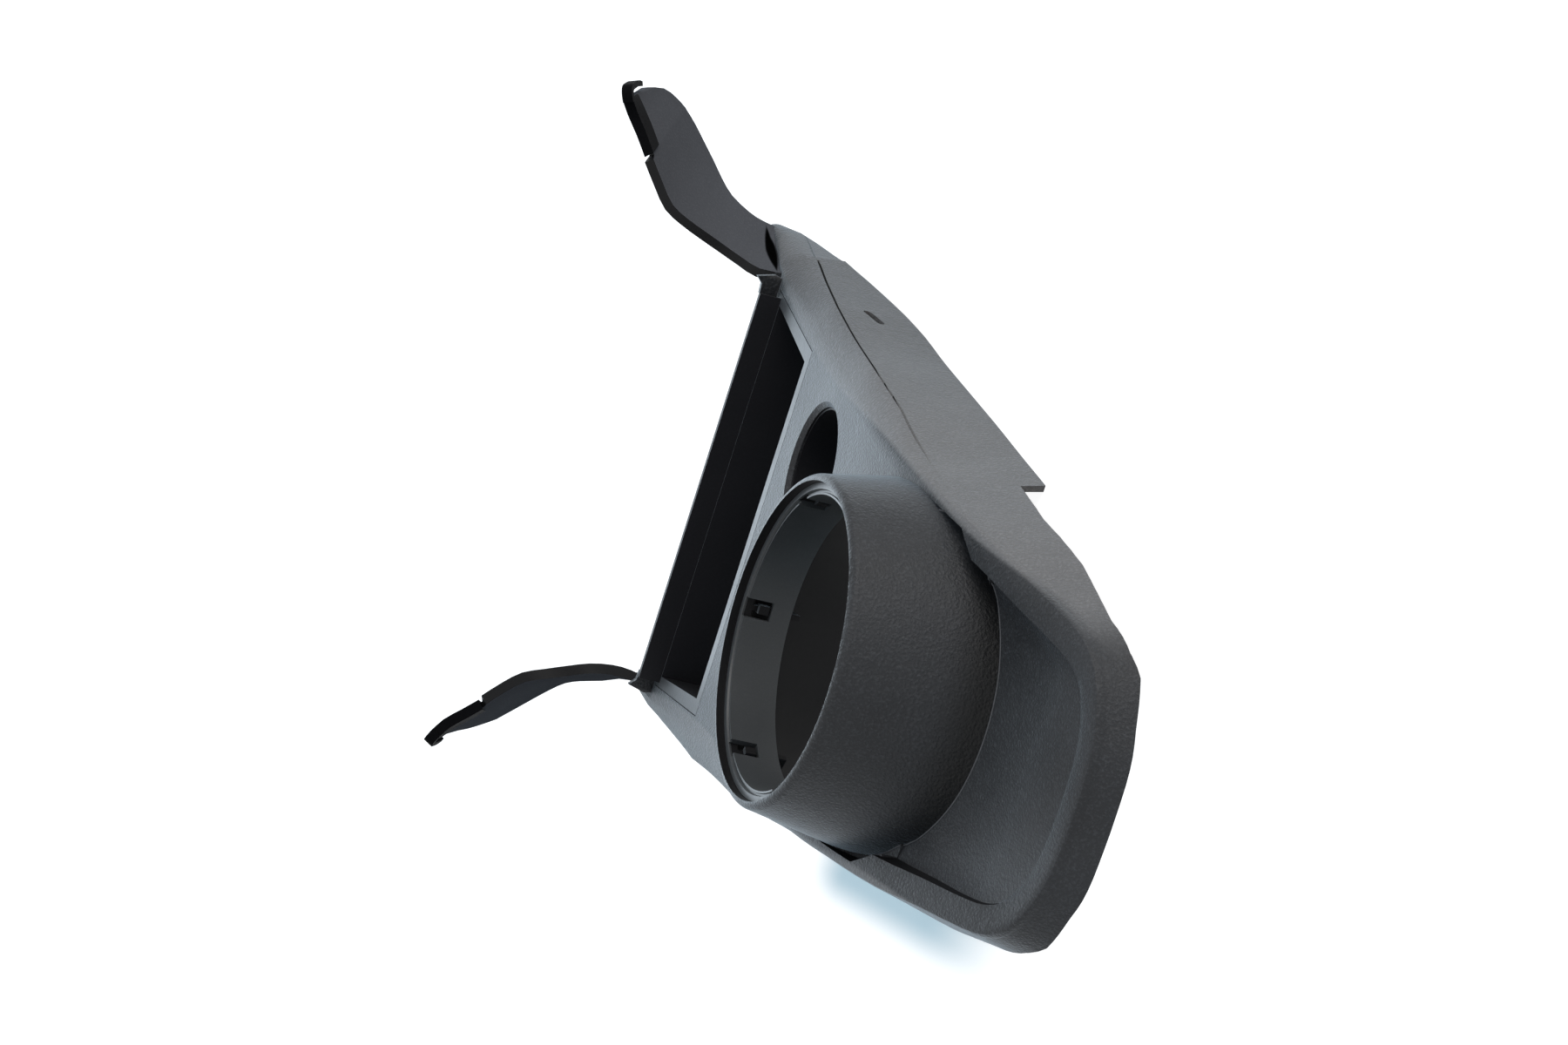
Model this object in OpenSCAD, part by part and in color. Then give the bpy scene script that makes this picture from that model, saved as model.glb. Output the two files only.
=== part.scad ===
// Front center console cover: moulded shell with rim, skirts, collar and arms,
// storage tray, twin cup insert, gaiter ring and arm edge strips.
// X runs to the rear of the car, Z is up, Y = 0 is the symmetry plane.

/* [Main sizes] */
// Outer radius of the collar lip
lip_r = 70; // [66:0.5:74]
// Height of the collar lip over the cup deck
lip_h = 35; // [32:0.5:38]
// Flare of the collar wall, millimetres of radius per millimetre of height
flare = 0.19; // [0.16:0.005:0.22]
// Wall thickness of the shell
wall = 2.8; // [2.4:0.1:3.2]
// Slope of the front deck
slope_front = 0.043; // [0.02:0.001:0.06]
// Slope of the rear deck, falling to the rear
slope_rear = 0.26; // [0.2:0.01:0.3]

/* [Skirts and rim] */
// How far the skirt stands out from the rim line
rim_out = 10.3; // [9:0.1:12]
// Width of the wall round the rear recess
recess_w = 10; // [8:0.5:12]
// Depth of the recess behind the collar
recess_d = 12; // [10:0.1:13]
// Radius of the round clearance about the collar
moat_r = 84; // [82:0.5:86]
// Draft of the side skirts
draft = 0.12; // [0.08:0.01:0.16]
// Depth of the step under the rim band at the front
seam_step = 0.9; // [0.4:0.1:1.2]

/* [Openings] */
// Radius of each cup hole
cup_r = 29.5; // [28:0.5:31]
// Distance of each cup hole from the symmetry plane
cup_y = 45.7; // [44:0.1:47]
// Depth of the cup wells under the deck
cup_depth = 43; // [38:1:44]
// Depth of the storage tray
tray_depth = 36; // [30:1:38]
// Height of the tray's front wall over the deck
tray_front_h = 10.5; // [6:0.5:12]

/* [Gaiter ring] */
// Inner radius of the ring
ring_r = 61.5; // [61:0.1:62]
// Height of the ring
ring_h = 20; // [16:0.5:22]
// Number of snap windows
windows = 6; // [4:1:8]
// Turn of the windows about the collar's axis
window_turn = 5; // [0:1:20]

/* [Arms] */
// Thickness of the arms
arm_t = 3; // [2.6:0.1:3.6]
// Height of the flange along the front edge of each arm
arm_flange = 8; // [7:0.5:10]
// Width of the black edge strip
strip_w = 9.8; // [9:0.1:12]

/* [Hidden] */
$fn = 72;
lift = 49;
shift_x = 85.415;
front_x = -250;
deck_tilt = atan(slope_front);
ring_bottom = lip_h - 5 - ring_h;
bend_x1 = -70;
bend_x2 = 70;
collar_foot = -33;

// Rim line in plan: distance along the console and half width.
rim_line = [[-250, 108.3], [-214, 102.4], [-177, 96.7], [-140, 91.2], [-100, 87], [-60, 83], [-20, 78.8],
    [20, 75.2], [60, 70.8], [90, 65.6], [115, 61.6], [129.5, 58.2], [140, 52.2], [147.5, 42.6], [152.6, 31],
    [155.2, 18], [156, 0]];
// Shoulder of the rim: how far out and how far down its rounding reaches.
shoulder_out = [[-250, 10.8], [-214, 12.3], [-177, 13.9], [-100, 13.7], [-60, 10.8], [-20, 6.6], [20, 4.2],
    [60, 4]];
shoulder_drop = [[-250, 12.65], [-214, 9.05], [-177, 6.15], [-100, 6.15], [-60, 9.1], [-20, 8.4], [20, 4.4],
    [60, 3.8]];
// Depth of the recess floor along its sides and along its middle, as shares of its full depth.
side_share = [[45, 0.95], [60, 0.82], [75, 0.67], [90, 0.5], [107, 0.3], [125, 0.22], [150, 0.2]];
mid_share = [[82, 1], [95, 0.87], [110, 0.65], [125, 0.38], [138, 0.23]];
// Lower edge of the skirt at the front, rising to the arms.
lower_edge = [[-250, -33], [-224, -39.5], [-204, -43.5], [-186, -46.5], [-160, -49], [300, -49]];

// Height of the rim line: straight at both ends, with a smooth arch between.
arch_c = (slope_front + slope_rear) / (2 * (bend_x2 - bend_x1));
function arch(u) = slope_front * u - arch_c * u * u;
function deck_z(x) = let (u = min(max(x, bend_x1), bend_x2) - bend_x1) 2.3 + arch(u)
    + (x < bend_x1 ? slope_front * (x - bend_x1) : 0) - (x > bend_x2 ? slope_rear * (x - bend_x2) : 0);
function smooth(a, b, x) = let (t = min(max((x - a) / (b - a), 0), 1)) t * t * (3 - 2 * t);
function recess(share, x) = smooth(-20, 35, x) * recess_d * lookup(x, share);
function rim_rise(x) = 0.5 * smooth(-60, 0, x);
function seam_in(x) = seam_step * (1 - 0.5 * smooth(-120, -40, x)) * (1 - smooth(-40, 10, x));

// Curve through the rim points, three steps to each span.
function spline(p, i, t) = let (n = len(p) - 1, a = p[max(i - 1, 0)], b = p[i], c = p[min(i + 1, n)],
    d = p[min(i + 2, n)]) 0.5 * (2 * b + (c - a) * t + (2 * a - 5 * b + 4 * c - d) * t * t
    + (3 * b - a - 3 * c + d) * t * t * t);
half = concat([for (i = [0:len(rim_line) - 2]) for (t = [0, 1 / 3, 2 / 3]) spline(rim_line, i, t)],
    [rim_line[len(rim_line) - 1]]);
last = len(half) - 1;
count = 2 * last + 1;
function unit(v) = v / norm(v);
function outward(j) = j == 0 ? [0, 1] : j == last ? [1, 0] :
    let (t = half[j + 1] - half[j - 1]) unit([-t.y, t.x]);

// One closed loop round the console: a row of offset d and height z at every point of the rim line.
function mirrored(h) = concat(h, [for (j = [last - 1:-1:0]) [h[j].x, -h[j].y, h[j].z]]);
function mix(a, b, t) = a + (b - a) * t;
function outer_row(kind, x, zv, zb, so, bo, step, rise, lip) =
    let (zs = zv - lookup(x, shoulder_drop), sd = zv - zs)
    kind == 0 ? [bo, zb] :
    kind == 1 ? [so - 0.4 * step + 1.4 * (bo - so) / (zs - zb), zs - 1.4] :
    kind == 2 ? [so - 1.8 * step + 0.4 * (bo - so) / (zs - zb), zs - 0.8] :
    kind == 3 ? [so, zs] :
    kind == 4 ? [mix(0.88, 0.95, lip) * so, zv - mix(0.74, 0.6, lip) * sd] :
    kind == 5 ? [mix(0.57, 0.76, lip) * so, zv - mix(0.42, 0.24, lip) * sd] :
    kind == 6 ? [mix(0.25, 0.42, lip) * so, zv - mix(0.16, 0.05, lip) * sd] :
    kind == 7 ? [0, zv] :
    kind == 8 ? [-3.5, zv + rise] :
    kind == 9 ? [1.9 - recess_w, zv + rise - 0.5 * lip] :
    [(kind == 10 ? 1.1 : -8) - recess_w, 0];
function inner_row(kind, x, zv, zb, so, bo, step, rise) =
    let (zs = zv - lookup(x, shoulder_drop), sd = zv - zs)
    kind == 0 ? [bo - wall, zb] :
    kind == 1 ? [0.75 * so + 0.25 * bo - wall - step, 0.75 * zs + 0.25 * zb] :
    kind == 2 ? [so - wall - step, zs - 0.6] :
    kind == 3 ? [0.75 * so - 2.2, zv - 0.34 * sd - 2.3] :
    kind == 4 ? [-2, zv - wall + rise] :
    [(kind == 5 ? 3.9 : -7.2) - recess_w, 0];
// How far a row lies under the deck's own height: the recess, and the wall on the underside.
function under_deck(kind, inner, x, j) = inner ?
    wall + recess(kind == 5 ? side_share : mid_share, x) - (j == 0 ? 0.05 * (kind - 5) : 0) :
    (kind < 10 ? 0 : recess(kind == 10 ? side_share : mid_share, x)) - (j == 0 ? 0.03 * (kind - 7) : 0);
function rim_loop(kind, inner) = mirrored([for (j = [0:last])
    let (b = half[j], x = b.x, zv = deck_z(x), so = lookup(x, shoulder_out), zb = lookup(x, lower_edge),
        corner = 2.8 * smooth(80, 125, x) * (1 - smooth(150, 155.5, x)),
        bo = rim_out + draft * (zv - 10 - zb) - corner,
        row = inner ? inner_row(kind, x, zv, zb, so, bo, seam_in(x), rim_rise(x)) :
            outer_row(kind, x, zv, zb, so, bo, seam_in(x), rim_rise(x), smooth(-60, 0, x)),
        q = b + row[0] * outward(j), px = inner ? max(q.x, front_x + wall) : q.x,
        deck = kind >= (inner ? 5 : 10) || (!inner && kind >= 8 && x < -60),
        z = deck ? deck_z(px) - under_deck(kind, inner, px, j) : row[1])
    [px, max(q.y, 0), z]]);

// Faces between two neighbouring loops, and the strips that close a loop across the deck.
function band(a, b) = [for (j = [0:count - 1]) let (k = (j + 1) % count)
    each [[a * count + j, a * count + k, b * count + k], [a * count + j, b * count + k, b * count + j]]];
function cap(a) = [for (j = [0:last - 1]) let (m = count - 1 - j)
    each j == last - 1 ? [[a * count + j, a * count + j + 1, a * count + m]] :
    [[a * count + j, a * count + j + 1, a * count + m - 1],
        [a * count + j, a * count + m - 1, a * count + m]]];
function flip(f) = [for (t = f) [t[2], t[1], t[0]]];

module rim_skin() {
    outer = [for (k = [0:11]) rim_loop(k, false)];
    inner = [for (k = [6:-1:0]) rim_loop(k, true)];
    loops = concat(outer, inner);
    points = [for (l = loops) each l];
    bands = [for (k = [0:len(loops) - 1]) if (k != 11) each band(k, (k + 1) % len(loops))];
    polyhedron(points, concat(bands, cap(11), flip(cap(12))), convexity = 8);
}

// Round clearance about the collar: it narrows the rim beside the collar down to its edge.
function moat_z(x) = deck_z(x) + 1 - smooth(6, 42, x) * (recess(side_share, x) + 0.6);
module rim_plan(grow) {
    line = [for (j = [0:last - 1]) (half[j] + half[j + 1]) / 2 + grow * unit(outward(j) + outward(j + 1))];
    translate([0, 0, -60])
        linear_extrude(90)
            polygon(concat(line, [for (j = [last - 1:-1:0]) [line[j].x, -line[j].y]]));
}
module side_view(outline) {
    rotate([90, 0, 0]) translate([0, 0, -100]) linear_extrude(200) polygon(outline);
}
module moat_body() {
    intersection() {
        translate([0, 0, -60]) cylinder(r = moat_r + 3.5, h = 90, $fn = 96);
        rim_plan(3);
        side_view(concat([for (x = [6, 11, 16, 24, 29, 38, 43, 52, 57]) [x, deck_z(x) - 3]],
            [for (x = [57, 52, 43, 38, 29, 24, 16, 11, 6]) [x, moat_z(x) - 4.3]]));
    }
}
module moat_room() {
    above = concat([for (x = [6, 11, 16, 24, 29, 38, 43, 52, 56, 64, 74]) [x, moat_z(x)]],
        [[74, 20], [6, 20]]);
    intersection() {
        translate([0, 0, -60]) cylinder(r = moat_r, h = 90, $fn = 96);
        rim_plan(-0.7);
        side_view(above);
    }
    intersection() {
        rim_plan(0.8 - recess_w);
        side_view(above);
    }
}

// Local frame of the front deck: z = 0 is its top face and x = 0 the rear edge of the tray.
module front_deck() {
    translate([-170, 0, deck_z(-170)]) rotate([0, -deck_tilt, 0]) children();
}

// Plan of the tray opening, wider at the front.
module tray_plan(grow, rear) {
    polygon([[-76 - grow, -100 - grow], [rear + grow, -88.6 - grow], [rear + grow, 88.6 + grow],
        [-76 - grow, 100 + grow]]);
}

// Collar: flared wall with a rounded lip and a seat for the gaiter ring, turned about the Z axis.
function wall_out(z) = lip_r + flare * (lip_h - 3.6 - z);
seat_z = lip_h - 5;
function wall_in(z) = wall_out(z) - 3.2;
module collar_wall() {
    rotate_extrude($fn = 96) {
        polygon([[wall_out(collar_foot), collar_foot], [lip_r, lip_h - 3.6], [ring_r + 5, lip_h - 3.6],
            [ring_r + 5, seat_z], [ring_r + 2.6, seat_z], [ring_r + 2.6, seat_z - 3],
            [wall_in(seat_z - 5), seat_z - 5], [wall_in(collar_foot), collar_foot]]);
        difference() {
            translate([lip_r - 3.6, lip_h - 3.6]) circle(r = 3.6, $fn = 32);
            translate([ring_r - 1, lip_h - 9]) square([6, 12]);
        }
    }
}
module collar_clear() {
    rotate_extrude($fn = 96)
        polygon([[0, -80], [wall_in(collar_foot), -80], [wall_in(collar_foot), collar_foot],
            [wall_in(seat_z - 5), seat_z - 5], [ring_r + 2.6, seat_z - 3], [ring_r + 2.6, seat_z],
            [ring_r + 5, seat_z], [ring_r + 5, lip_h + 4], [0, lip_h + 4]]);
}

// Ribs inside the collar: each has a foot under the ring and a nub that passes its window.
module ring_supports() {
    for (k = [0:windows - 1]) rotate(180 + window_turn + k * 360 / windows) {
        rotate([90, 0, 0])
            translate([0, 0, -1.2])
                linear_extrude(2.4)
                    polygon([[ring_r + 0.5, ring_bottom - 4],
                        [wall_in(ring_bottom - 4) + 1, ring_bottom - 4],
                        [wall_in(seat_z - 4) + 1, seat_z - 4], [ring_r + 2.6, seat_z - 2.5],
                        [ring_r + 2.6, ring_bottom], [ring_r + 0.5, ring_bottom]]);
        translate([ring_r + 0.4, -1.9, seat_z - 10]) cube([4.4, 3.8, 4.6]);
    }
}

// Cheek that carries the skirt forward to the root of an arm: rows of outer points, top to bottom.
// Its upper edge drops into a gutter along the root.
cheek = [
    [-246, [[101, -6.6], [107.9, -6.4], [110.7, -8.4], [114.1, -11.6],
        [117.3, -15.6], [118.5, -18.8], [119.4, -32.2]]],
    [-249.8, [[101.5, -6.4], [108.3, -5.6], [111, -7.6], [114.4, -10.9],
        [117.7, -15], [119, -18.4], [120.2, -32.6]]],
    [-262, [[104.6, -8.2], [109.6, -6.9], [112.7, -8.1], [115.5, -10.5],
        [118.1, -14.6], [119.2, -20.5], [120.2, -31.5]]],
    [-285, [[110.8, -12.2], [113.2, -10.4], [115.2, -11.2], [117.2, -13.2],
        [118.9, -16.2], [120, -21.5], [120.5, -29.6]]],
    [-306, [[116, -15.4], [117, -14.4], [117.9, -14.9], [118.9, -16.4],
        [119.7, -19], [120.2, -23], [120.4, -27.4]]],
    [-319, [[118.6, -15.6], [118.9, -15.8], [119.2, -16.4], [119.5, -17.2],
        [119.8, -18.2], [120, -19.5], [120, -20.6]]]];
inward = [[0, 3], [0.9, 2.8], [1.7, 2.4], [2.3, 1.8], [2.8, 1], [3, 0.3], [3, 0]];
module cheek_plate() {
    rows = [for (c = cheek) let (p = c[1], thin = c[0] < -310 ? 0.8 : 1)
        concat([for (i = [6:-1:0]) [c[0], p[i].x, p[i].y]],
            [for (i = [0:6]) [c[0], p[i].x - thin * inward[i].x, p[i].y - thin * inward[i].y]])];
    loft(rows, 14);
}

// Web that closes the corner between the deck's front edge and the root of an arm.
module root_web() {
    translate([-251.2, 0, 0]) rotate([90, 0, 90]) linear_extrude(2.4)
        polygon([[96, -5.8], [104.5, -7.5], [106, -2], [103.6, 6.6], [100.6, 3.6], [95.8, 3.2]]);
}

// Loft through rows of n points; each row runs down one side of a strip and back up the other.
function ladder(n, at) = [for (i = [0:n / 2 - 2])
    each [[at + i, at + i + 1, at + n - 2 - i], [at + i, at + n - 2 - i, at + n - 1 - i]]];
module loft(rows, n) {
    m = len(rows);
    sides = [for (r = [0:m - 2]) for (i = [0:n - 1]) let (j = (i + 1) % n)
        each [[r * n + i, r * n + j, (r + 1) * n + j], [r * n + i, (r + 1) * n + j, (r + 1) * n + i]]];
    caps = concat(flip(ladder(n, 0)), ladder(n, (m - 1) * n));
    polyhedron([for (r = rows) each r], concat(sides, caps), convexity = 6);
}

// Arm: far edge of its flange, its free edge, and 1 where the flange runs.
arm_stations = [[[-256, 102.2, -10.2], [-316, 118.2, -21.6], 1], [[-263.6, 100.6, 2.4], [-313, 120.4, -9.5], 1],
    [[-272, 102.4, 9.7], [-312, 123, -1], 1], [[-277, 105.5, 19.2], [-319, 127.6, 7.5], 1],
    [[-277, 109.2, 30], [-328, 133, 12], 1], [[-277, 113.2, 40.7], [-333, 139.5, 17], 1],
    [[-279.5, 118, 50], [-334.8, 147, 24], 1], [[-284, 126.4, 56.8], [-336, 154.4, 31], 1],
    [[-287, 136, 64], [-335, 160, 37.6], 1], [[-287.8, 137.8, 65], [-334.8, 161, 38.8], 0],
    [[-293, 146, 70.3], [-334, 164.4, 44.6], 0], [[-296.6, 154, 76.5], [-330, 167.4, 53], 0],
    [[-294.5, 161, 82], [-318, 167, 64.5], 0]];
arm_far = [for (a = arm_stations) a[0]];
arm_free = [for (a = arm_stations) a[1]];
arm = concat([for (k = [0:len(arm_stations) - 2]) for (t = [0, 0.5])
    [spline(arm_far, k, t), spline(arm_free, k, t), t == 0 ? arm_stations[k][2] : arm_stations[k + 1][2]]],
    [arm_stations[len(arm_stations) - 1]]);
arm_last = len(arm) - 1;
function arm_across(k) = unit(arm[k][1] - arm[k][0]);
function arm_run(k) = let (a = arm[max(k - 1, 0)], b = arm[min(k + 1, arm_last)],
    r = unit(b[0] + b[1] - a[0] - a[1]), w = arm_across(k)) unit(r - (r * w) * w);
function arm_face(k) = unit(cross(arm_across(k), arm_run(k)));
function arm_crease(k) = arm[k][0] + (arm_flange - arm_t) * arm_face(k);
module arm_plate() {
    rows = [for (k = [0:arm_last]) let (f = arm[k][0], r = arm[k][1], c = arm_crease(k), t = arm_t,
        w = unit(r - c), g = c + 2.5 * w, p = unit(cross(w, arm_run(k))))
        arm[k][2] == 1 ? [f + 2.6 * w, c - t * p + 2.6 * w, r - t * p, r, c, f] :
        [g + 1.2 * w - t * p, g + 2.4 * w - t * p, r - t * p, r, g + 1.2 * w, g]];
    loft(rows, 6);
}

// Edge strip: a channel pressed on the arm's edge, with a hook that curls over the arm's tip.
module edge_strip() {
    t = arm_t;
    rows = [for (k = [18:arm_last]) let (c = arm_crease(k), w = unit(arm[k][1] - c),
        p = unit(cross(w, arm_run(k))), s = strip_w)
        [c + s * w - (t + 0.06) * p, c + 2.3 * w - (t + 0.06) * p, c + 2.3 * w + 0.06 * p,
        c + s * w + 0.06 * p, c + s * w + 1.1 * p, c + 1.1 * p, c - (t + 1.1) * p,
        c + s * w - (t + 1.1) * p]];
    loft(rows, 8);
    c = arm_crease(arm_last);
    w = unit(arm[arm_last][1] - c);
    p = unit(cross(w, arm_run(arm_last)));
    u = cross(p, w);
    path = concat([[1.55, -2, 1.5], [1.55, 0.1, 1.5], [1.6, 1.2, 1.5]],
        [for (a = [160:-23:90]) [5 + 3.4 * cos(a), 1.2 + 3.4 * sin(a), 1.45]],
        [[9.2, 4.7, 1.4], [13.4, 4.7, 1.35], [17, 4.2, 1.25], [20, 3.3, 1.1]]);
    m = len(path) - 1;
    bars = [for (i = [0:m]) let (q = path[i], d = unit([path[min(i + 1, m)].x - path[max(i - 1, 0)].x,
        path[min(i + 1, m)].y - path[max(i - 1, 0)].y]), e = q[2] * [-d.y, d.x])
        [for (v = [[1, -t - 1.05], [-1, -t - 1.05], [-1, 1.05], [1, 1.05]])
            c + (q.x + v.x * e.x) * w + (q.y + v.x * e.y) * u + v.y * p]];
    loft(bars, 4);
}

// Screw bosses of the cup insert, in the frame of the front deck.
screw_at = [[27, 0], [73, 0], [50, 84], [50, -84]];

module shell_solids() {
    difference() {
        union() {
            rim_skin();
            moat_body();
        }
        moat_room();
    }
    collar_wall();
    front_deck() {
        translate([0, 0, -4.6])
            linear_extrude(2.4)
                difference() {
                    tray_plan(4, 0);
                    tray_plan(-3.5, 0);
                }
        for (s = screw_at) translate([s.x, s.y, -8.9]) cylinder(r = 4, h = 7.4);
    }
    for (m = [0, 1]) mirror([0, m, 0]) {
        cheek_plate();
        arm_plate();
        root_web();
    }
    cross_rib(-161, [[-94, -2.4], [94, -2.4], [104, -22], [-104, -22]]);
    cross_rib(104, [[-66, -26.5], [-56, -28], [-46, -31.7], [46, -31.7], [56, -28], [66, -26.5],
        [70.4, -41], [-70.4, -41]]);
}

// Rib across the underside, from its outline in the YZ plane.
module cross_rib(x, outline) {
    translate([x, 0, 0]) rotate([90, 0, 90]) linear_extrude(2.2) polygon(outline);
}

module console_shell() {
    color([0.2, 0.21, 0.22])
        place()
            difference() {
                union() {
                    difference() {
                        shell_solids();
                        collar_clear();
                    }
                    ring_supports();
                }
                front_deck() {
                    translate([0, 0, -2.2]) linear_extrude(20) tray_plan(0.4, 0);
                    translate([0, 0, -30]) linear_extrude(40) tray_plan(-3.5, 0);
                    for (s = [-1, 1]) translate([50, s * cup_y, 0]) {
                        translate([0, 0, -12]) cylinder(r = cup_r, h = 30);
                        translate([0, 0, -2]) cylinder(r1 = cup_r, r2 = cup_r + 3, h = 3);
                    }
                    for (s = screw_at) translate([s.x, s.y, -10]) cylinder(r = 1.95, h = 8.4, $fn = 24);
                }
                skirt_relief();
                for (s = [-1, 1]) skirt_slot(s);
            }
}

// Relief of the lower edge behind its square corner.
module skirt_relief() {
    rotate([90, 0, 0])
        translate([0, 0, -120])
            linear_extrude(240)
                polygon([[12.5, -60], [12.5, -38.4], [46, -38], [84, -42.4], [122, -43], [140, -46],
                    [150, -49.5], [150, -60]]);
}

// Slot through each side skirt for the clip of the neighbouring trim.
module skirt_slot(s) {
    translate([-173.6, s * 108, -26.6])
        rotate([0, 18, 0])
            rotate([90, 0, 0]) {
                translate([-5.2, -2.1, -12]) cube([10.4, 4.2, 24]);
                for (e = [-5.2, 5.2]) translate([e, 0, -12]) cylinder(r = 2.1, h = 24, $fn = 24);
            }
}

module storage_tray() {
    color([0.04, 0.04, 0.045])
        place()
            front_deck() {
                translate([0, 0, -2.2])
                    linear_extrude(2.2)
                        difference() {
                            tray_plan(0, 0);
                            tray_plan(-6.2, 0);
                        }
                difference() {
                    translate([0, 0, -tray_depth]) linear_extrude(tray_depth - 0.6) tray_plan(-4.2, 0);
                    translate([0, 0, 2.2 - tray_depth]) linear_extrude(tray_depth) tray_plan(-6.2, 0);
                }
                translate([-73, -97, -1]) cube([2.6, 194, tray_front_h + 1]);
                for (s = [-1, 1]) for (x = [-52, -20])
                    translate([x, s * (83 - 0.166 * x), -6.6]) rotate(s * -9.4) tray_hook(s);
            }
}

// Snap hook under the shelf of the shell.
module tray_hook(s) {
    rotate([90, 0, 90])
        translate([0, 0, -4])
            linear_extrude(8)
                polygon([[0, -7], [s * 2.9, -0.6], [s * 2.9, 1.6], [0, 1.6]]);
}

module cup_insert() {
    color([0.05, 0.05, 0.055])
        place()
            front_deck()
                difference() {
                    union() {
                        translate([15, -79, -5.05]) cube([69, 158, 2.2]);
                        for (s = [-1, 1]) translate([50, s * cup_y, -cup_depth])
                            cylinder(r1 = 28.6, r2 = 30.8, h = cup_depth - 3);
                        for (s = screw_at) translate([s.x, s.y, -9]) cylinder(r = 7, h = 4.9);
                    }
                    for (s = [-1, 1]) translate([50, s * cup_y, 2.2 - cup_depth])
                        cylinder(r1 = 26.6, r2 = 28.8, h = cup_depth);
                    for (s = screw_at) translate([s.x, s.y, -10]) cylinder(r = 4.3, h = 8);
                }
}

module cup_insert_screws() {
    color([0.5, 0.5, 0.52])
        place()
            front_deck()
                for (s = screw_at) translate([s.x, s.y, -9]) {
                    translate([0, 0, -2]) cylinder(r = 5.6, h = 2, $fn = 32);
                    translate([0, 0, -0.5]) cylinder(r = 1.85, h = 6.4, $fn = 24);
                }
}

module gaiter_ring() {
    color([0.09, 0.09, 0.1])
        place()
            difference() {
                rotate_extrude($fn = 96)
                    polygon([[ring_r, ring_bottom], [ring_r + 2.4, ring_bottom],
                        [ring_r + 2.4, seat_z + 0.05], [ring_r + 4.8, seat_z + 0.05],
                        [ring_r + 4.8, seat_z + 1.4], [ring_r + 2.2, seat_z + 1.4],
                        [ring_r + 1.8, seat_z], [ring_r + 1, seat_z],
                        [ring_r + 0.8, seat_z + 0.7], [ring_r, seat_z + 0.7]]);
                for (k = [0:windows - 1]) rotate(180 + window_turn + k * 360 / windows)
                    translate([ring_r - 3, -4.1, seat_z - 11]) cube([5.6, 8.2, 12]);
            }
}

module arm_strip_right() {
    color([0.03, 0.03, 0.03]) place() edge_strip();
}

module arm_strip_left() {
    color([0.03, 0.03, 0.03]) place() mirror([0, 1, 0]) edge_strip();
}

module place() {
    translate([shift_x, 0, lift]) children();
}

console_shell();
storage_tray();
cup_insert();
gaiter_ring();
arm_strip_right();
arm_strip_left();
cup_insert_screws();
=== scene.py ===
import math

import bmesh
import bpy
from mathutils import Matrix, Vector
from mathutils.bvhtree import BVHTree


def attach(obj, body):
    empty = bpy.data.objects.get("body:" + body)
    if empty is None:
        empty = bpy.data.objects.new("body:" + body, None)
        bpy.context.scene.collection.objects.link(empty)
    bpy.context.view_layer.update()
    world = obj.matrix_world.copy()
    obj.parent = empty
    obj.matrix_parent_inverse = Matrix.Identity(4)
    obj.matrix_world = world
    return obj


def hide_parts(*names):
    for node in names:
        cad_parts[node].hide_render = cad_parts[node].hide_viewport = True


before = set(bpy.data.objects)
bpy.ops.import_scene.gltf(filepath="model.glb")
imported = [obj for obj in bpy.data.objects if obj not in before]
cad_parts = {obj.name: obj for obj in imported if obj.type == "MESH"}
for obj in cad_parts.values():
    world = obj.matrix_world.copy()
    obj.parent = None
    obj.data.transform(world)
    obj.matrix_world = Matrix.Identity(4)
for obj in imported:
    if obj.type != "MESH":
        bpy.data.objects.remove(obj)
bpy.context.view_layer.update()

scene = bpy.context.scene


# Camera and studio. The console is seen from its rear right, low over the deck, with the camera
# rolled so that its right side points up. It stands on a pale floor in soft light from its right.
eye = Vector((1.365815, 0.3373, 0.5743))
look = Vector((-0.9169, -0.2073, -0.3411)).normalized()
upward = Vector((-0.2919, 0.9311, 0.2188))
upward = (upward - upward.dot(look) * look).normalized()
sideways = look.cross(upward)
camera = bpy.data.objects.new("camera", bpy.data.cameras.new("camera"))
scene.collection.objects.link(camera)
camera.data.lens = 80
camera.data.sensor_width = 36
camera.data.sensor_fit = "HORIZONTAL"
camera.data.clip_start = 0.05
camera.data.clip_end = 50
camera.matrix_world = Matrix((
    (sideways.x, upward.x, -look.x, eye.x),
    (sideways.y, upward.y, -look.y, eye.y),
    (sideways.z, upward.z, -look.z, eye.z),
    (0, 0, 0, 1),
))
scene.camera = camera


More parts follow.
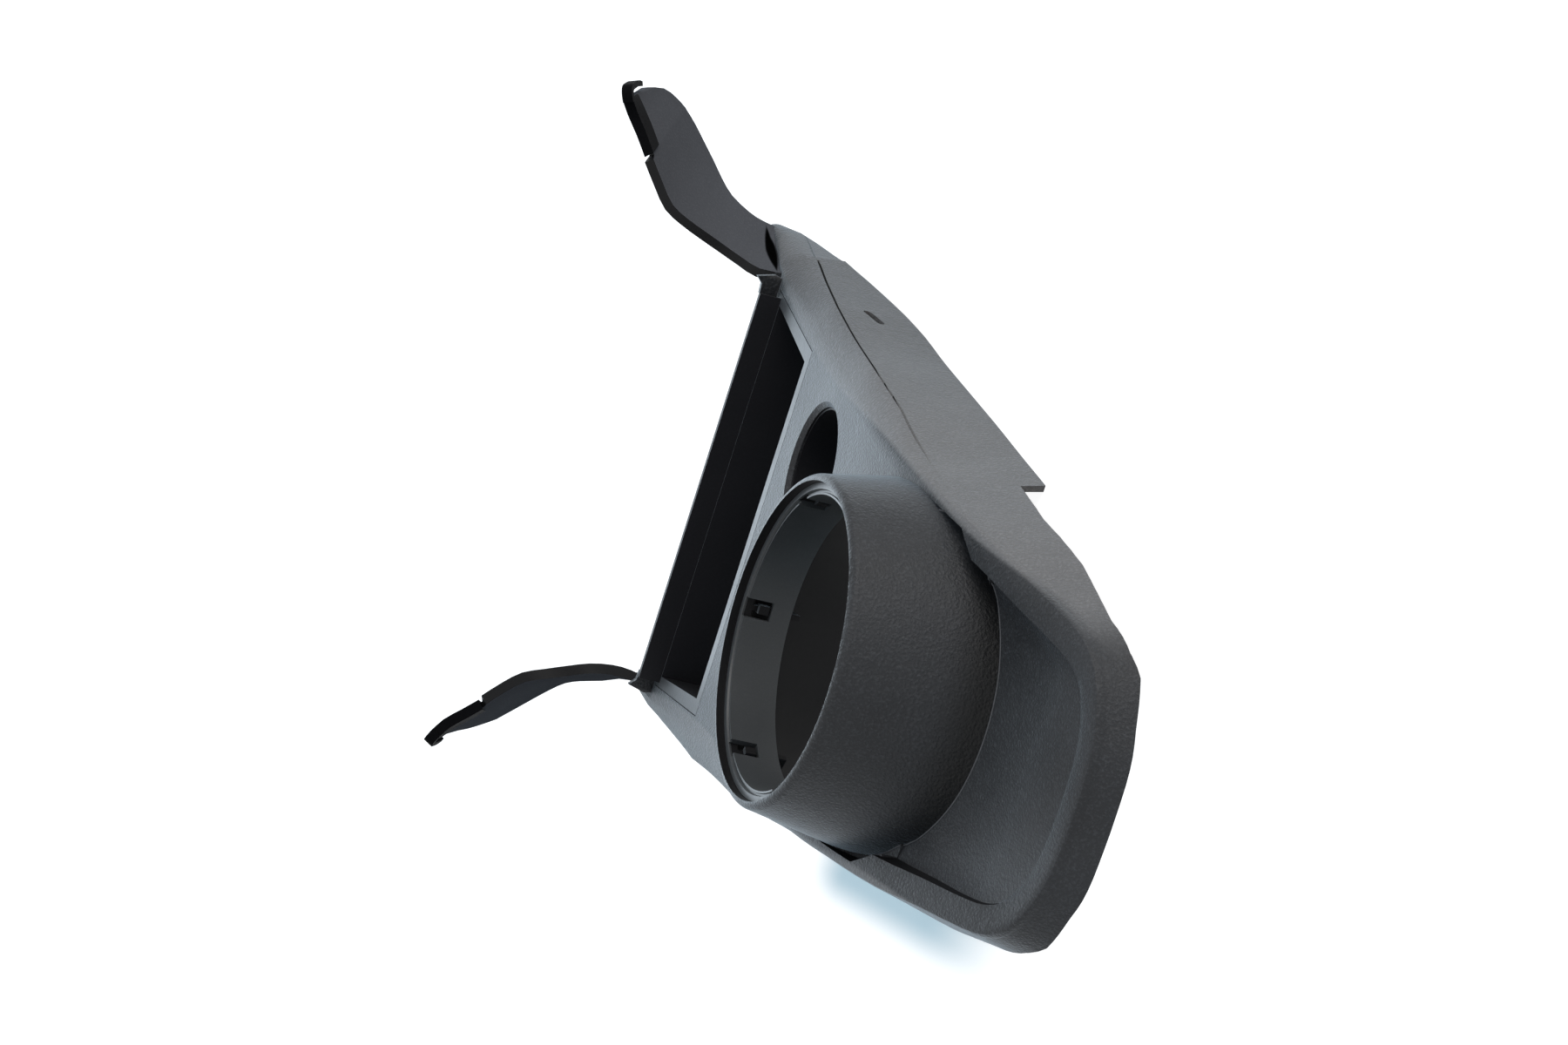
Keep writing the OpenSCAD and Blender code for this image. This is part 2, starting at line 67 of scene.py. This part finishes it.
class Wire:
    """A socket of a node tree that can be used in sums, so that a pattern is written as a formula."""

    def __init__(self, tree, socket):
        self.tree, self.socket = tree, socket

    def node(self, kind, settings=None, **inputs):
        """A new node: its settings come first, then the values or links of its sockets."""
        made = self.tree.nodes.new(kind)
        for name, value in (settings or {}).items():
            setattr(made, name, value)
        for name, value in inputs.items():
            numbered = name[0] == "n" and name[1:].isdigit()
            slot = made.inputs[int(name[1:]) if numbered else name.replace("_", " ")]
            if isinstance(value, Wire):
                self.tree.links.new(value.socket, slot)
            else:
                slot.default_value = value
        return made

    def out(self, kind, settings=None, output=0, **inputs):
        return Wire(self.tree, self.node(kind, settings, **inputs).outputs[output])

    def maths(self, operation, *values):
        return self.out("ShaderNodeMath", {"operation": operation},
                        **{f"n{i}": value for i, value in enumerate(values)})

    def __add__(self, other):
        return self.maths("ADD", self, other)

    __radd__ = __add__

    def __sub__(self, other):
        return self.maths("SUBTRACT", self, other)

    def __rsub__(self, other):
        return self.maths("SUBTRACT", other, self)

    def __mul__(self, other):
        return self.maths("MULTIPLY", self, other)

    __rmul__ = __mul__

    def size(self):
        return self.maths("ABSOLUTE", self)

    def root(self):
        return self.maths("SQRT", self)

    def larger(self, other):
        return self.maths("MAXIMUM", self, other)

    def step(self, low, high, start=0.0, end=1.0):
        """Changes smoothly from start to end while this value rises from low to high."""
        return self.out("ShaderNodeMapRange", {"interpolation_type": "SMOOTHSTEP"},
                        Value=self, From_Min=low, From_Max=high, To_Min=start, To_Max=end)

    def blend(self, first, second):
        """The first colour where this value is 0, and the second where it is 1."""
        return self.out("ShaderNodeMix", {"data_type": "RGBA"}, 2, n0=self, n6=first, n7=second)

    def axes(self):
        split = self.node("ShaderNodeSeparateXYZ", Vector=self)
        return [Wire(self.tree, output) for output in split.outputs]


def backdrop_rays(tree):
    """1 for rays that show the studio, straight or in a gloss, and 0 for those that light the part."""
    rays = Wire(tree, None).node("ShaderNodeLightPath")
    straight, in_gloss, in_glass = (
        Wire(tree, rays.outputs[kind]) for kind in ("Is Camera Ray", "Is Glossy Ray", "Is Transmission Ray"))
    return straight.larger(in_gloss).larger(in_glass)


def new_finish(name):
    """An empty material, and a wire at its Object coordinates to grow the pattern from."""
    finish = bpy.data.materials.new(name)
    finish.use_nodes = True
    finish.node_tree.nodes.clear()
    return finish, Wire(finish.node_tree, None).out("ShaderNodeTexCoord", output="Object")


world = bpy.data.worlds.new("studio")
world.use_nodes = True
scene.world = world
world.node_tree.nodes.clear()
direction = Wire(world.node_tree, None).out("ShaderNodeTexCoord", output="Generated")
toward_back, toward_right, toward_sky = direction.axes()
everywhere, front_window, ceiling = 0.25, 2.45, 1.25
beside_key_lamp, dark_left = 0.5, 0.12
sky_tint, seen_white = (0.82, 0.93, 1.04, 1), (1, 1, 1, 1)
window = toward_back.step(-0.85, 0.3, front_window, 0) * toward_sky.step(0.25, 0.6, 1, 0.25)
level = everywhere + window + toward_sky.step(0.4, 0.9, 0, ceiling)
level = level * toward_right.step(-0.1, 0.4, 1.0, beside_key_lamp)
level = level * toward_right.step(-0.6, -0.15, dark_left, 1.0)
seen = backdrop_rays(world.node_tree)
background = direction.out("ShaderNodeBackground", Strength=seen + (1 - seen) * level,
                           Color=seen.blend(sky_tint, seen_white))
direction.node("ShaderNodeOutputWorld", Surface=background)

floor_reach = 9
floor_mesh = bpy.data.meshes.new("floor")
floor_mesh.from_pydata([(-floor_reach, -floor_reach, 0), (floor_reach, -floor_reach, 0),
                        (floor_reach, floor_reach, 0), (-floor_reach, floor_reach, 0)], [], [(0, 1, 2, 3)])
floor = bpy.data.objects.new("floor", floor_mesh)
scene.collection.objects.link(floor)
finish, place = new_finish("floor_white")
paper = place.out("ShaderNodeBsdfDiffuse", Color=(0.34, 0.335, 0.33, 1))
# Painted shadow: a bluish band of the paper's glow beside the console's left edge; elsewhere the glow is an
# even pale.
shade_out, shade_in, shade_skew = (-0.138, -0.118), (-0.06, -0.04), 0.2
shade_front, shade_rear = (-0.02, 0.03), (0.12, 0.22)
pale, bluish_shade = (0.93, 0.93, 0.93, 1), (0.25, 0.38, 0.45, 1)
along, across, _ = place.axes()
beside = (across - along * shade_skew).step(*shade_out) * along.step(*shade_front)
beside = beside * (1 - along.step(*shade_rear)) * (1 - across.step(*shade_in))
glow = place.out("ShaderNodeEmission", Color=beside.blend(pale, bluish_shade),
                 Strength=backdrop_rays(place.tree))
place.node("ShaderNodeOutputMaterial", Surface=place.out("ShaderNodeAddShader", n0=paper, n1=glow))
floor_mesh.materials.append(finish)

for name, spot, aim, size, power, tint in (
    ("key_lamp", (0.65, 1.25, 0.45), (0.05, 0, 0.04), 1.1, 10.5, (1, 0.965, 0.94)),
    ("far_lamp", (-1.45, -0.3, 0.55), (0, 0, 0.04), 1.2, 12, (0.74, 0.88, 1)),
):
    lamp = bpy.data.lights.new(name, "AREA")
    lamp.size = size
    lamp.energy = power
    lamp.color = tint
    holder = bpy.data.objects.new(name, lamp)
    holder.location = spot
    holder.rotation_euler = (Vector(aim) - Vector(spot)).to_track_quat("-Z", "Y").to_euler()
    scene.collection.objects.link(holder)
scene.view_settings.view_transform = "Standard"


# Console shell: one injection moulding in charcoal polypropylene, with a leather-like grain outside and
# plain faces inside, painted nearly black as painted shade. Clips of the tunnel trim catch in the slots of
# its skirts, and its two arms reach up beside the lower dashboard.
collar = Vector((0.085415, 0, 0))
collar_radius = 0.070
collar_flare = 0.19


def shaded_places(place):
    """Where the shell lies in its own deep shade: the seam's tail, the collar's foot, the fold at an arm."""
    x, y, z = place.axes()
    seam_slope, seam_height, cheek_end = 0.195, 0.0631, -0.166
    off_seam = (z - x * seam_slope - seam_height).size()
    tail = (1 - off_seam.step(0.0002, 0.0006)) * (1 - x.step(cheek_end, cheek_end + 0.0015))

    behind = x - collar.x
    radius = (behind * behind + y * y).root()
    radius_at_floor, foot_low, foot_high = 0.085276, 0.0260, 0.0470
    off_wall = (radius + z * collar_flare - radius_at_floor).size()
    foot = (1 - off_wall.step(0.0004, 0.0008)) * (1 - z.step(foot_low, foot_high)) * 0.95

    fold_slope, fold_height, fold_middle, fold_length, fold_width = 0.102, 0.0613, -0.199, 0.025, 0.0026
    swing = (x - fold_middle) * (1 / fold_length)
    off_fold = (z - x * fold_slope - fold_height).size()
    fold = 1 - (off_fold - (1 - swing * swing) * fold_width).step(-0.0006, 0.0006)
    return tail.larger(foot).larger(fold)


def painted_skirt_light_places(place):
    """The skirts outside the crease along the deck, painted paler and paler toward the rear as painted light
    for their low-angle sheen.
    """
    x, y, _ = place.axes()
    half_width, narrowing, tail_flare, tail_end = 0.0843, 0.75, 0.0125, (0.19, 0.235)
    crease = half_width - x * x.size() * narrowing + x.step(0.12, 0.22, 0, tail_flare)
    skirts = (y.size() - crease).step(-0.0008, 0.0018) * (1 - x.step(*tail_end))
    rearward = x.step(-0.15, 0.12)
    return skirts, rearward


def moulded_finish(name, colour, pale, grain, depth, rough, gloss, speckle,
                   sheen=0.0, shaded=False, painted_skirt_light=False):
    """Moulded plastic: grain of the given size and depth in metres, mottling, and paler high spots."""
    finish, place = new_finish(name)
    pebbles = place.out("ShaderNodeTexNoise", Vector=place, Scale=1 / grain, Detail=2.5, Roughness=0.55)
    wide = place.out("ShaderNodeTexNoise", Vector=place, Scale=0.22 / grain, Detail=3.0)
    height = pebbles + wide * 0.5
    bump = place.out("ShaderNodeBump", Height=height, Strength=1.0, Distance=depth)
    clouds = place.out("ShaderNodeTexNoise", Vector=place, Scale=14.0, Detail=5.0)
    scuffs = place.out("ShaderNodeTexNoise", Vector=place, Scale=420.0, Detail=4.0, Roughness=0.7)
    tone = clouds.step(0.3, 0.7, 0.0, 0.3) + pebbles.step(0.45, 0.75) * 0.4
    tone = tone + scuffs.step(0.60, 0.76) * speckle
    tint = tone.blend((*colour, 1), (*pale, 1))
    dull = clouds.step(0.3, 0.7, rough - 0.04, rough + 0.05) + scuffs.step(0.5, 0.8) * 0.08
    # Painted light: the skirts get a paler colour, paler still toward the rear, for their sheen at a low
    # angle; they are also rougher.
    if painted_skirt_light:
        skirt_lit_dark, skirt_lit_pale = (0.074, 0.071, 0.070, 1), (0.205, 0.198, 0.194, 1)
        skirts, rearward = painted_skirt_light_places(place)
        tint = skirts.blend(tint, (tone + rearward * 0.45).blend(skirt_lit_dark, skirt_lit_pale))
        dull = dull + skirts * 0.12
    if shaded:
        deep_shade = (0.002, 0.002, 0.002, 1)
        tint = shaded_places(place).blend(tint, deep_shade)
    plastic = place.out("ShaderNodeBsdfPrincipled", Base_Color=tint, Normal=bump, Roughness=dull,
                        Specular_IOR_Level=gloss, Sheen_Weight=sheen, Sheen_Roughness=0.35,
                        Sheen_Tint=(0.80, 0.92, 1, 1))
    place.node("ShaderNodeOutputMaterial", Surface=plastic)
    return finish


def smooth_copy(node, name, angle, finishes, choose=None):
    """A CAD node built again from its points, shaded smoothly up to an angle, with a finish for each face."""
    joined = bmesh.new()
    joined.from_mesh(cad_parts[node].data)
    bmesh.ops.remove_doubles(joined, verts=joined.verts, dist=0.00001)
    joined.verts.index_update()
    mesh = bpy.data.meshes.new(name)
    mesh.from_pydata([tuple(v.co) for v in joined.verts], [],
                     [[v.index for v in f.verts] for f in joined.faces])
    joined.free()
    for finish in finishes:
        mesh.materials.append(finish)
    mesh.shade_smooth()
    mesh.set_sharp_from_angle(angle=math.radians(angle))
    piece = bpy.data.objects.new(name, mesh)
    scene.collection.objects.link(piece)
    weigh = piece.modifiers.new("weigh", "WEIGHTED_NORMAL")
    weigh.keep_sharp = True
    weigh.weight = 50
    baked = bpy.data.meshes.new_from_object(piece.evaluated_get(bpy.context.evaluated_depsgraph_get()))
    piece.modifiers.remove(weigh)
    piece.data = baked
    baked.name = name
    if choose:
        for face in baked.polygons:
            face.material_index = choose(face.center, face.normal)
    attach(piece, "root")
    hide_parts(node)
    return piece


grained = moulded_finish(
    "grained_shell", colour=(0.014, 0.0145, 0.016), pale=(0.068, 0.070, 0.075), grain=0.0012, depth=0.00042,
    rough=0.46, gloss=0.28, speckle=0.5, sheen=0.5, shaded=True, painted_skirt_light=True)
# The arms are more finely grained, and painted much paler than the shell as painted light for what they catch
# from below.
arm_plain_painted_light = moulded_finish(
    "arm_plain_painted_light", colour=(0.108, 0.110, 0.119), pale=(0.156, 0.159, 0.170), grain=0.0010, depth=0.00015,
    rough=0.68, gloss=0.0, speckle=0.4, shaded=True)
# Inside faces: plain, and painted nearly black as painted shade for the dark inside of the shell.
core_side_painted_dark = moulded_finish(
    "core_side_painted_dark", colour=(0.005, 0.005, 0.0055), pale=(0.009, 0.009, 0.010), grain=0.0012, depth=0.00003,
    rough=0.5, gloss=0.18, speckle=0.2)
shell_finishes = [grained, arm_plain_painted_light, core_side_painted_dark]
arm_faces = [(f.normal.copy(), f.area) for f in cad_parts["console_shell"].data.polygons
             if f.center.x < -0.19 and f.center.y > 0 and f.center.z > 0.06 and f.normal.dot(look) < -0.3]
arm_side = sum((normal * area for normal, area in arm_faces), Vector()).normalized()
solid = BVHTree.FromObject(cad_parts["console_shell"], bpy.context.evaluated_depsgraph_get())


def shell_side(centre, normal):
    """Which of the shell's finishes a face has. Faces deep in the seam's groove get the core side's
    near-black finish, as painted shade.
    """
    of_grain, of_arm, of_core = range(3)
    seam_half_width, seam_taper, seam_curve, seam_end, groove_reach = 0.0977, 0.159, 0.19, 0.06, 0.0022
    seam_line = seam_half_width - centre.x * (seam_taper + seam_curve * centre.x)
    if (centre.x < seam_end and abs(centre.y) > seam_line - 0.004
            and solid.ray_cast(centre + normal * 0.00005, normal, groove_reach)[0]):
        return of_core
    arm_start, arm_foot, side_share = -0.170, 0.046, 0.35
    if centre.x < arm_start and (centre.z > arm_foot or (normal.x > 0.1 and abs(normal.y) > 0.4)):
        outer = Vector((arm_side.x, math.copysign(arm_side.y, centre.y), arm_side.z))
        return of_core if normal.dot(outer) < side_share else of_arm
    away = centre - collar if centre.x > 0.0 else Vector((0, centre.y, 0))
    away = Vector((away.x, away.y, 0)).normalized()
    faces_in = normal.z < -0.5 or (normal.dot(away) < -side_share and normal.z < 0.6)
    return of_core if faces_in else of_grain


shell = smooth_copy("console_shell", "moulded_shell", 32, shell_finishes, shell_side)


# Bead: the raised line that the tool leaves where the collar meets the recess floor. It is part of the
# same moulding, glossier, and painted paler than the shell as a painted highlight along the collar's foot.
bead_radius = 0.00042
bead_sides = 8
lip_height = 0.0804
sky = Vector((0, 0, 1))
hull = BVHTree.FromObject(shell, bpy.context.evaluated_depsgraph_get())
foot = []
for turn in range(-62, 73, 2):
    ray = Vector((math.cos(math.radians(turn)), math.sin(math.radians(turn)), 0))
    reach = 0.0800
    for _ in range(4):
        hit = hull.ray_cast(collar + ray * (reach + 0.0006) + sky * 0.070, -sky)[0]
        reach = collar_radius + collar_flare * (lip_height - hit.z)
    foot.append(collar + ray * (reach + 0.0001) + sky * hit.z)
bead_mesh = bmesh.new()
rings = []
for k, spot in enumerate(foot):
    along = (foot[min(k + 1, len(foot) - 1)] - foot[max(k - 1, 0)]).normalized()
    side = along.cross(sky).normalized()
    rise = side.cross(along)
    rings.append([bead_mesh.verts.new(spot + bead_radius * (math.cos(a) * side + math.sin(a) * rise))
                  for a in (math.radians(360 / bead_sides * i) for i in range(bead_sides))])
for first, second in zip(rings, rings[1:]):
    for i in range(bead_sides):
        j = (i + 1) % bead_sides
        bead_mesh.faces.new((first[i], second[i], second[j], first[j]))
for end in (rings[0][::-1], rings[-1]):
    bead_mesh.faces.new(end)
bmesh.ops.recalc_face_normals(bead_mesh, faces=bead_mesh.faces)
bead_data = bpy.data.meshes.new("foot_bead")
bead_mesh.to_mesh(bead_data)
bead_mesh.free()
bead_data.shade_smooth()
bead = bpy.data.objects.new("foot_bead", bead_data)
scene.collection.objects.link(bead)
bead_data.materials.append(moulded_finish(
    "bead_painted_highlight", colour=(0.050, 0.052, 0.058), pale=(0.080, 0.083, 0.090), grain=0.0012, depth=0.00003,
    rough=0.34, gloss=0.6, speckle=0.3))
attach(bead, "root")


# Storage tray: black polypropylene moulding, held by snap hooks under the shell's shelf. Its flange
# lies level with the deck, is glossier and shines at a low angle, and is painted paler than its plain dark
# walls as painted light.
tray_walls = moulded_finish(
    "black_tray", colour=(0.013, 0.013, 0.015), pale=(0.020, 0.020, 0.023), grain=0.0010, depth=0.00003,
    rough=0.5, gloss=0.14, speckle=0.2)
tray_flange = moulded_finish(
    "tray_flange", colour=(0.018, 0.019, 0.021), pale=(0.040, 0.041, 0.045), grain=0.0010, depth=0.00008,
    rough=0.42, gloss=0.5, speckle=0.3, sheen=0.3)
flange_low, flange_high = 0.036, 0.052
smooth_copy("storage_tray", "tray_box", 30, [tray_walls, tray_flange],
            lambda centre, normal: int(normal.z > 0.9 and flange_low < centre.z < flange_high))


# Cup insert: two tapered wells in one black polypropylene moulding, plain and a little satin. It is
# drawn up against the deck from below by four screws through its lugs.
cup_black = moulded_finish(
    "black_cups", colour=(0.011, 0.011, 0.0125), pale=(0.017, 0.017, 0.019), grain=0.0010, depth=0.00003,
    rough=0.45, gloss=0.1, speckle=0.3)
smooth_copy("cup_insert", "cup_wells", 30, [cup_black])


# Gaiter ring: smooth satin ring of glass-filled nylon for the frame of the shifter's gaiter. It drops
# into its seat in the collar, where nubs on the collar's ribs catch in its six windows.
ring_satin = moulded_finish(
    "ring_plastic", colour=(0.054, 0.058, 0.060), pale=(0.074, 0.078, 0.081), grain=0.0008, depth=0.00002,
    rough=0.38, gloss=0.5, speckle=0.2)
smooth_copy("gaiter_ring", "boot_ring", 30, [ring_satin])


# Edge strips: soft black channels, one for each arm and mirror images of each other. They are pressed
# on the arms' edges, and each ends in a hook that curls over the tip.
strip_black = moulded_finish(
    "black_strip", colour=(0.004, 0.004, 0.0045), pale=(0.008, 0.008, 0.009), grain=0.0009, depth=0.00003,
    rough=0.6, gloss=0.02, speckle=0.2)
for node, name in (("arm_strip_right", "strip_right"), ("arm_strip_left", "strip_left")):
    smooth_copy(node, name, 40, [strip_black])


# Screws: four pan-head thread formers in zinc-plated steel. They go up through the cup insert's lugs
# into the bosses under the deck, and are out of sight in the car.
zinc, place = new_finish("screw_steel")
zinc_dark, zinc_bright = (0.42, 0.43, 0.45, 1), (0.62, 0.63, 0.65, 1)
plated = place.out("ShaderNodeTexNoise", Vector=place, Scale=900.0, Detail=4.0)
metal = place.out("ShaderNodeBsdfPrincipled", Roughness=plated.step(0.3, 0.7, 0.25, 0.45),
                  Base_Color=plated.blend(zinc_dark, zinc_bright), Metallic=1.0)
place.node("ShaderNodeOutputMaterial", Surface=metal)
smooth_copy("cup_insert_screws", "pan_screws", 30, [zinc])
